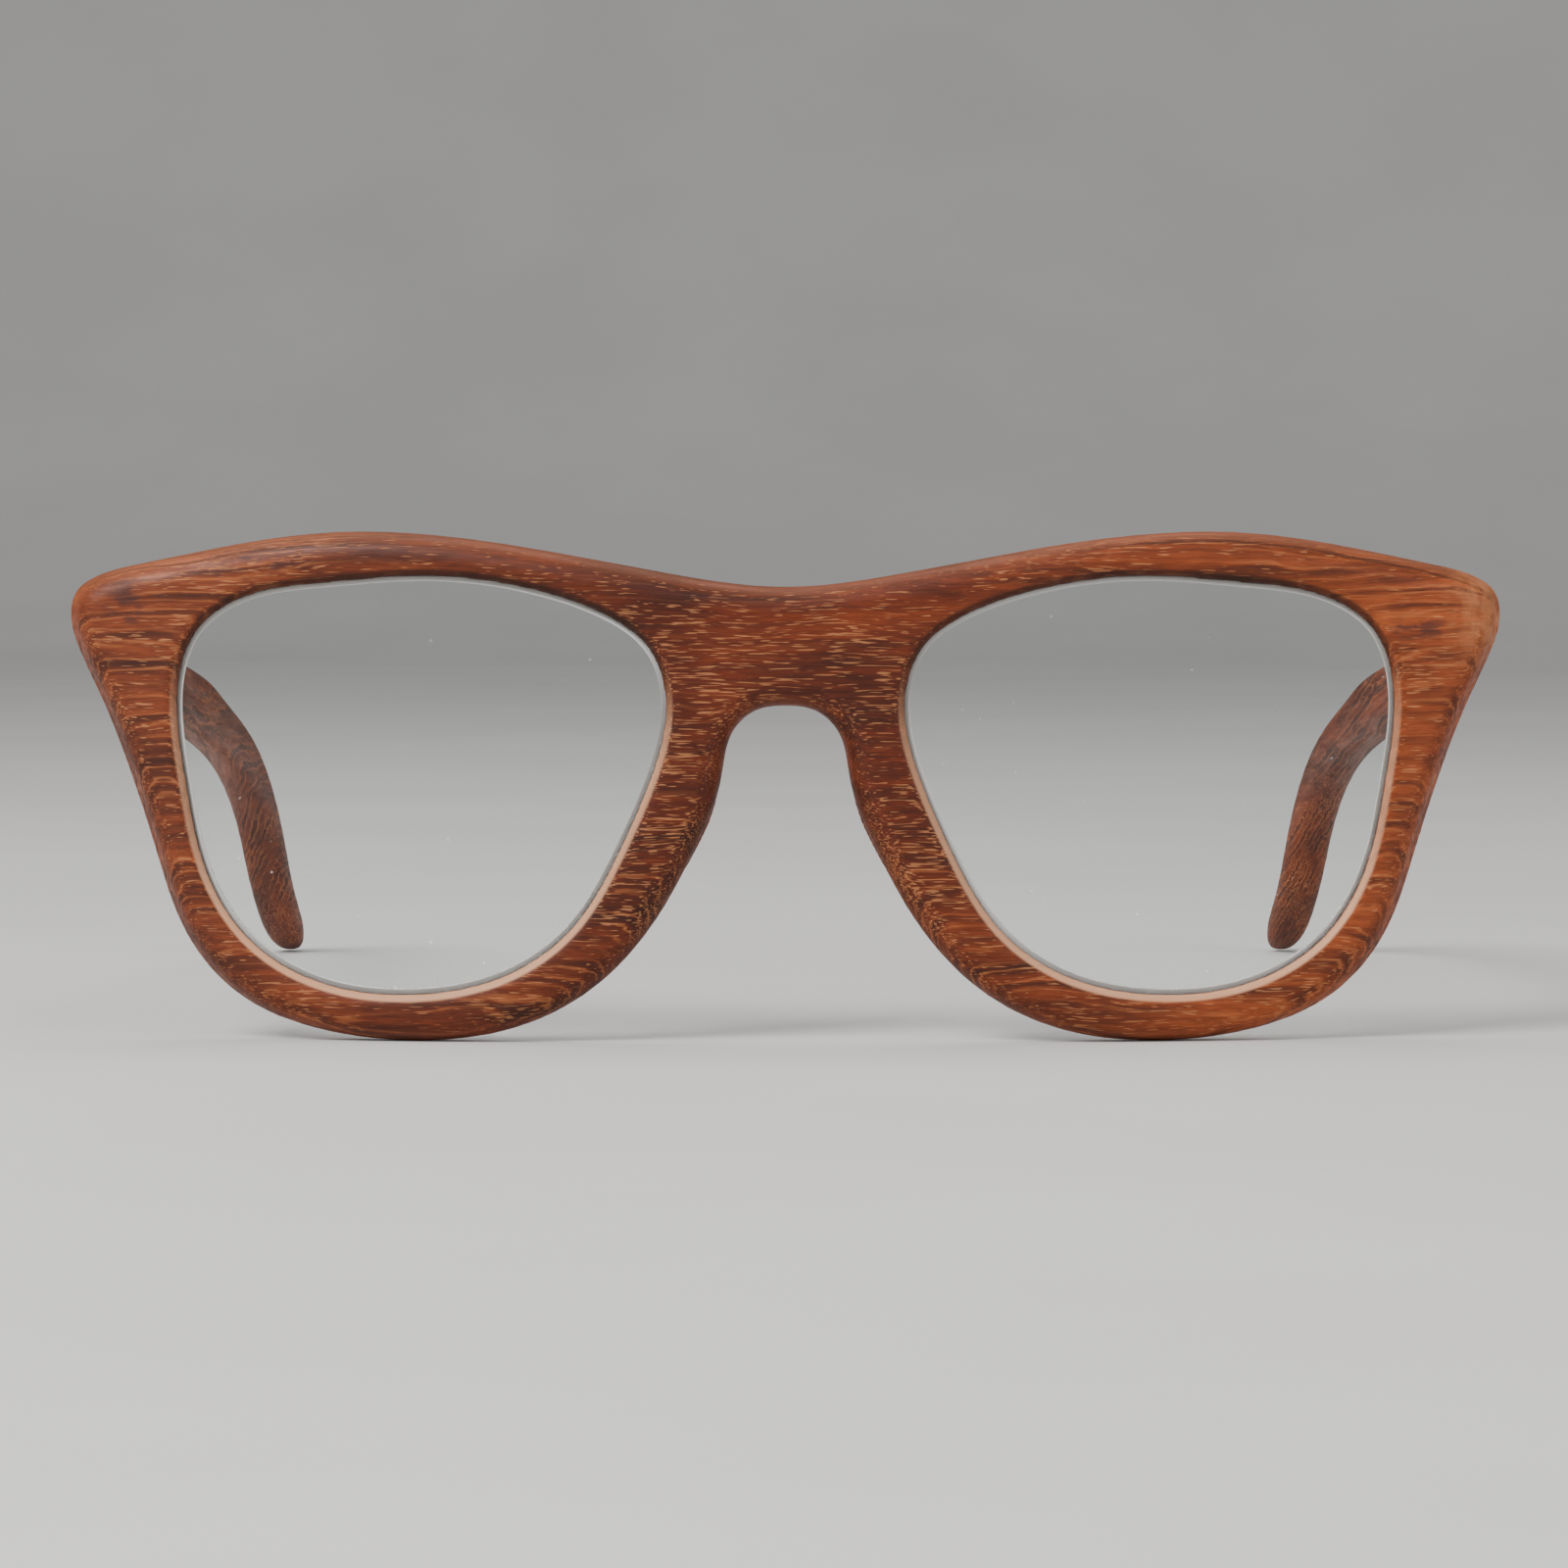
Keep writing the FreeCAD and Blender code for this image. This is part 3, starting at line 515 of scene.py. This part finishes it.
def pale_pores(shader, bent, density):
    """Filled pores: soft dashes and a few crisp ones, more of them where density is high."""
    lift = shader.calc("MULTIPLY", shader.calc("SUBTRACT", density, 0.5), 0.13)
    dash = shader.noise(stretched(shader, bent, 2.4, 0.15, 0.15, (2.0, 5.0, 9.0)), detail=1.0,
                        rough=0.4)
    dash = shader.band(shader.calc("ADD", dash, lift), 0.60, 0.675)
    crisp = pores(shader, bent, 5.6, 0.075, 0.38, shader.calc("MULTIPLY", density, 0.60),
                  (5.3, 2.1, 8.7))
    return shader.calc("MAXIMUM", shader.calc("MULTIPLY", dash, 0.66), crisp)


def wood(name, along, across, shift=0.0, dense=(), knots=(), front=False):
    """Oiled hardwood: fibres, growth rings, open pores, darker heart and a satin finish."""
    shader = Shader(name)
    place, grain = grain_place(shader, along, across)
    side, _, up = shader.split(place)
    grain = shader.vector("ADD", grain, (shift, shift * 0.37, shift * 0.19))
    if front:
        # the layers of the front follow its bend
        lengthwise, _, crosswise = shader.split(grain)
        grain = shader.join(lengthwise, shader.attribute("depth_mm"), crosswise)
    bent = wavy(shader, grain)
    streak = shader.noise(stretched(shader, bent, 14.0, 0.8, 0.8), detail=4.0, rough=0.6)
    fibre = shader.noise(stretched(shader, bent, 2.8, 0.15, 0.15), detail=2.0, rough=0.6)
    base = heartwood(shader, bent, streak, fibre)

    ring_part = shader.noise(stretched(shader, bent, 18.0, 4.0, 4.0, (3.0, 9.0, 2.0)))
    ring_strength = shader.band(ring_part, 0.40, 0.60, 0.15, 1.0)
    if front:
        base = front_tones(shader, base, side)
        ring_strength = front_ring_strength(shader, ring_strength, side, up)
    base = growth_rings(shader, base, bent, streak, ring_strength)

    patch = shader.noise(stretched(shader, bent, 22.0, 6.0, 6.0, (7.0, 1.0, 4.0)), detail=3.0)
    density = shader.band(patch, 0.38, 0.66, 0.0, 0.65)
    for centre, size in dense:
        extra = shader.calc("MULTIPLY", spot(shader, place, centre, size, 0.3), 0.42)
        density = shader.calc("ADD", density, extra)
    pale = pale_pores(shader, bent, density)
    if front:
        # pores are cut lengthwise on the flat face and hardly show where it rounds over
        _, turned, _ = shader.facing()
        flat = shader.band(shader.calc("ABSOLUTE", turned), 0.35, 0.85, 0.35, 1.0)
        pale = shader.calc("MULTIPLY", pale, flat)
    dark = pores(shader, bent, 5.0, 0.075, 0.50, 0.30, (11.0, 6.0, 3.0))
    base = shader.mix(shader.calc("MULTIPLY", pale, 0.62), base, colour(204, 136, 86))
    base = shader.mix(shader.calc("MULTIPLY", dark, 0.75), base, colour(38, 18, 12))

    for centre, size in knots:
        cloud = shader.noise(stretched(shader, place, 3.2, 2.0, 1.3, centre), detail=5.0)
        stain = shader.calc("MULTIPLY", spot(shader, place, centre, size, 0.25),
                            shader.band(cloud, 0.47, 0.62))
        base = shader.mix(shader.calc("MULTIPLY", stain, 0.7), base, colour(48, 30, 30))

    hollow = shader.calc("ADD", shader.calc("MULTIPLY", pale, 0.7), dark)
    height = shader.calc("SUBTRACT", shader.calc("MULTIPLY", fibre, 0.35), hollow)
    shader.bump(height, 0.40, 0.08 * MM)
    gloss = shader.band(streak, 0.3, 0.75, 0.56, 0.42)
    gloss = shader.calc("MULTIPLY_ADD", hollow, 0.22, gloss, clamp=True)
    if front:
        base = edge_tints(shader, place, side, up, base)
    shader.set(Base_Color=base, Roughness=gloss, IOR=1.45,
               Specular_IOR_Level=0.30 if front else 0.14)
    return shader.material


def edge_tints(shader, place, side, up, base):
    """The bevel round each opening, with painted light where it faces up and painted shade where it
    faces down, a painted shade line just behind it, then the tints along the front's top edge.
    """
    depth = shader.attribute("depth_mm")
    opening = shader.attribute("hole_mm")
    _, _, tilt = shader.facing()
    bevel = shader.calc("MULTIPLY", shader.band(opening, 0.95, 0.6),
                        shader.band(depth, 1.3, 0.9))
    # painted light and shade: the bevel is made pale where it faces up and dark where it faces down,
    # as light from above would fall on it
    pale = shader.calc("MULTIPLY", bevel, shader.band(tilt, -0.25, 0.45, 0.0, 0.74))
    dark = shader.calc("MULTIPLY", bevel, shader.band(tilt, -0.1, -0.45, 0.0, 0.60))
    base = shader.mix(pale, base, colour(222, 166, 128))
    base = shader.mix(dark, base, colour(34, 16, 10))
    # painted shade: a thin dark line on the wall of the opening just behind the bevel, where the wall
    # lies in shade
    line = shader.calc("MULTIPLY", shader.band(opening, 0.30, 0.14),
                       shader.band(depth, 0.80, 1.0, 0.0, 0.75))
    base = shader.mix(line, base, colour(36, 18, 12))
    return top_edge_tints(shader, place, side, up, base)


def top_edge_tints(shader, place, side, up, base):
    """A painted highlight along the top edge, one dark growth line along its left half, and a painted
    highlight on the left corner.
    """
    rim = shader.attribute("rim_mm")
    high = shader.band(up, 44.0, 46.0)
    # painted highlight: the top edge is lightened a little, where light from above falls on it
    edge = shader.calc("MULTIPLY", shader.band(rim, 1.6, 0.3), high)
    base = shader.mix(shader.calc("MULTIPLY", edge, 0.12), base, colour(196, 118, 66))
    sway = shader.noise(stretched(shader, place, 11.0, 4.0, 4.0))
    line = shader.calc("MULTIPLY_ADD", sway, 0.9, 0.55)
    off = shader.calc("ABSOLUTE", shader.calc("SUBTRACT", rim, line))
    growth = shader.calc("MULTIPLY", shader.band(off, 0.24, 0.08), high)
    growth = shader.calc("MULTIPLY", growth, shader.band(side, 22.0, 40.0, 0.0, 0.62))
    base = shader.mix(growth, base, colour(52, 24, 14))
    # painted highlight: a soft pale patch at the top of the left end piece
    painted_corner_highlight = shader.calc("MULTIPLY", shader.band(side, 67.0, 73.6), shader.band(up, 37.0, 43.0))
    cloud = shader.noise(stretched(shader, place, 1.1, 1.1, 1.6), detail=4.0)
    painted_corner_highlight = shader.calc("MULTIPLY", painted_corner_highlight, shader.band(cloud, 0.32, 0.64, 0.12, 0.58))
    return shader.mix(painted_corner_highlight, base, colour(196, 128, 82))


# ---- metal and glass ---------------------------------------------------------------------------

def steel(name, tint, rough, streak_size):
    """Steel with fine brushing, faint stains and a little wear."""
    shader = Shader(name)
    place = shader.millimetres()
    brush = shader.noise(stretched(shader, place, 0.05, streak_size, 0.05), detail=3.0)
    cloud = shader.noise(place, 0.9, 4.0)
    shade = shader.band(shader.calc("MULTIPLY_ADD", cloud, 0.5, brush), 0.5, 1.0, 0.78, 1.05)
    base = shader.mix(1.0, colour(*tint), shader.grey(shade), "MULTIPLY")
    shader.set(Base_Color=base, Metallic=1.0,
               Roughness=shader.band(brush, 0.3, 0.7, rough * 0.75, rough * 1.3))
    shader.bump(brush, 0.15, 0.02 * MM)
    return shader.material


def clear_lens():
    """Clear coated glass, a ground bevel round its edge and a little dust low down."""
    shader = Shader("clear_lens")
    place = shader.millimetres()
    _, _, height = shader.split(place)
    _, forward, _ = shader.facing()
    ground = shader.band(shader.calc("ABSOLUTE", forward), 0.93, 0.84)
    speck = shader.node("ShaderNodeTexVoronoi", {"Vector": place, "Scale": 0.55,
                                                 "Randomness": 1.0})
    size = shader.node("ShaderNodeSeparateColor", {"Color": speck.outputs["Color"]})
    reach = shader.band(size.outputs[0], 0.6, 1.0, 0.0, 0.09)
    dust = shader.calc("LESS_THAN", speck.outputs["Distance"], reach)
    dust = shader.calc("MULTIPLY", dust, shader.band(height, 26.0, 7.0, 0.12, 0.8))
    lint = shader.noise(stretched(shader, place, 0.22, 0.5, 0.10), detail=3.0, rough=0.7)
    lint = shader.calc("MULTIPLY", shader.band(lint, 0.56, 0.70),
                      shader.band(height, 7.6, 5.4, 0.0, 0.5))
    dust = shader.calc("MAXIMUM", dust, lint)
    smear = shader.noise(stretched(shader, place, 9.0, 9.0, 5.0), detail=4.0)
    film = shader.band(smear, 0.5, 0.9, 0.0, 0.012)
    rough = shader.calc("MAXIMUM", shader.calc("MULTIPLY", ground, 0.42), film)
    solid = shader.calc("MAXIMUM", shader.calc("MULTIPLY", ground, 0.88), dust)
    shader.set(Base_Color=shader.mix(solid, colour(250, 253, 252), colour(236, 234, 229)),
               Roughness=rough, IOR=1.22,
               Transmission_Weight=shader.calc("SUBTRACT", 1.0, solid, clamp=True))
    return shader.material


# ---- put the looks on the pieces -----------------------------------------------------------------

def assign(piece, material):
    piece.data.materials.clear()
    piece.data.materials.append(material)


def dress_node(name, material):
    """Gives a CAD node that stays visible a better material in each of its slots."""
    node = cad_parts[name]
    if not node.material_slots:
        node.data.materials.append(material)
    for slot in node.material_slots:
        slot.material = material


def build_pieces():
    front_wood = wood(
        "front_wood", (1, 0, 0.02), (0, 0, 1), front=True,
        dense=[((0, -68, 41), (22, 30, 9)), ((-14, -67, 20), (9, 30, 18)),
               ((14, -67, 20), (9, 30, 18))],
        knots=[((-55.0, -63.5, 48.6), (6.5, 9.0, 2.8)), ((64.0, -60.5, 42.5), (9.0, 9.0, 1.6)),
               ((-68.0, -60.0, 45.0), (3.5, 9.0, 3.5))])
    pad_wood = wood("pad_wood", (0, 0.2, 1), (1, 0, 0), shift=61.0)
    assign(build_front(), front_wood)
    for number, side in enumerate(SIDES):
        temple_wood = wood(f"{side}_temple_wood", TEMPLE_FALL, TEMPLE_RISE,
                           shift=23.0 + 40.0 * number)
        assign(build_temple(side), temple_wood)
        assign(build_nose_pad(side), pad_wood)


def dress_hardware():
    plate = steel("hinge_steel", (196, 193, 188), 0.30, 1.2)
    turned = steel("screw_steel", (212, 209, 203), 0.22, 0.4)
    wire = steel("spring_steel", (168, 170, 176), 0.26, 0.5)
    glass = clear_lens()
    looks = {"lens": glass, "hinge_front_leaf": plate, "hinge_case": plate,
             "hinge_slider": plate, "hinge_guide": plate,
             "hinge_pivot_screw": turned, "hinge_leaf_screws": turned,
             "hinge_case_screws": turned}
    for side in SIDES:
        build_spring(side, wire)
        for node, material in looks.items():
            dress_node(f"{side}_{node}", material)


# ---- studio ----------------------------------------------------------------------------------------

def build_stage():
    """A plain pale floor that curves up into a wall well behind the glasses."""
    half, front, bend, wall, radius = 4.0, -3.0, 1.6, 3.0, 0.8
    profile = [(front, 0.0), (-0.5, 0.0), (0.5, 0.0)]
    for step in range(13):
        angle = math.pi / 2 * step / 12
        profile.append((bend + radius * math.sin(angle), radius * (1 - math.cos(angle))))
    profile.append((bend + radius, wall))
    vertices = [(x, y, z) for y, z in profile for x in (-half, half)]
    faces = [(2 * n, 2 * n + 1, 2 * n + 3, 2 * n + 2) for n in range(len(profile) - 1)]
    mesh = bpy.data.meshes.new("floor")
    mesh.from_pydata(vertices, [], faces)
    mesh.shade_smooth()
    floor = bpy.data.objects.new("floor", mesh)
    bpy.context.scene.collection.objects.link(floor)
    shader = Shader("floor_paint")
    place = shader.node("ShaderNodeTexCoord").outputs["Object"]
    mottle = shader.band(shader.noise(place, 9.0, 3.0), 0.3, 0.7)
    shader.set(Base_Color=shader.mix(mottle, colour(205, 203, 200), colour(210, 208, 205)),
               Roughness=0.7)
    assign(floor, shader.material)


def soft_light(name, place, target, size, power, tint=(1.0, 1.0, 1.0)):
    data = bpy.data.lights.new(name, "AREA")
    data.shape = "RECTANGLE"
    data.size, data.size_y = size
    data.energy = power
    data.color = tint
    lamp = bpy.data.objects.new(name, data)
    lamp.location = place
    direction = Vector(target) - Vector(place)
    lamp.rotation_euler = direction.to_track_quat("-Z", "Y").to_euler()
    bpy.context.scene.collection.objects.link(lamp)


def build_lights():
    middle = (0.0, FACE_Y, 0.03)
    soft_light("key", (-0.50, FACE_Y - 0.50, 0.70), middle, (0.45, 0.45), 12.0)
    soft_light("fill", (0.75, FACE_Y - 0.6, 0.4), middle, (0.6, 0.5), 3.0)
    soft_light("top", (-0.1, 0.25, 0.9), middle, (0.8, 0.4), 3.0)
    world = bpy.data.worlds.new("studio")
    world.use_nodes = True
    sky = world.node_tree.nodes["Background"]
    sky.inputs["Color"].default_value = (0.80, 0.81, 0.83, 1.0)
    sky.inputs["Strength"].default_value = 0.55
    bpy.context.scene.world = world


def build_camera():
    """Low and straight ahead, like a portrait of the glasses on a table."""
    eye = Vector((0.0, FACE_Y - CAMERA_DISTANCE, CAMERA_HEIGHT))
    aim = Vector((CAMERA_AIM_X, FACE_Y, CAMERA_AIM_Z))
    data = bpy.data.cameras.new("camera")
    data.sensor_width = SENSOR_WIDTH
    data.lens = FOCAL_LENGTH
    data.clip_start = 0.01
    camera = bpy.data.objects.new("camera", data)
    camera.location = eye
    camera.rotation_euler = (aim - eye).to_track_quat("-Z", "Y").to_euler()
    bpy.context.scene.collection.objects.link(camera)
    bpy.context.scene.camera = camera


build_pieces()
dress_hardware()
build_stage()
build_lights()
build_camera()
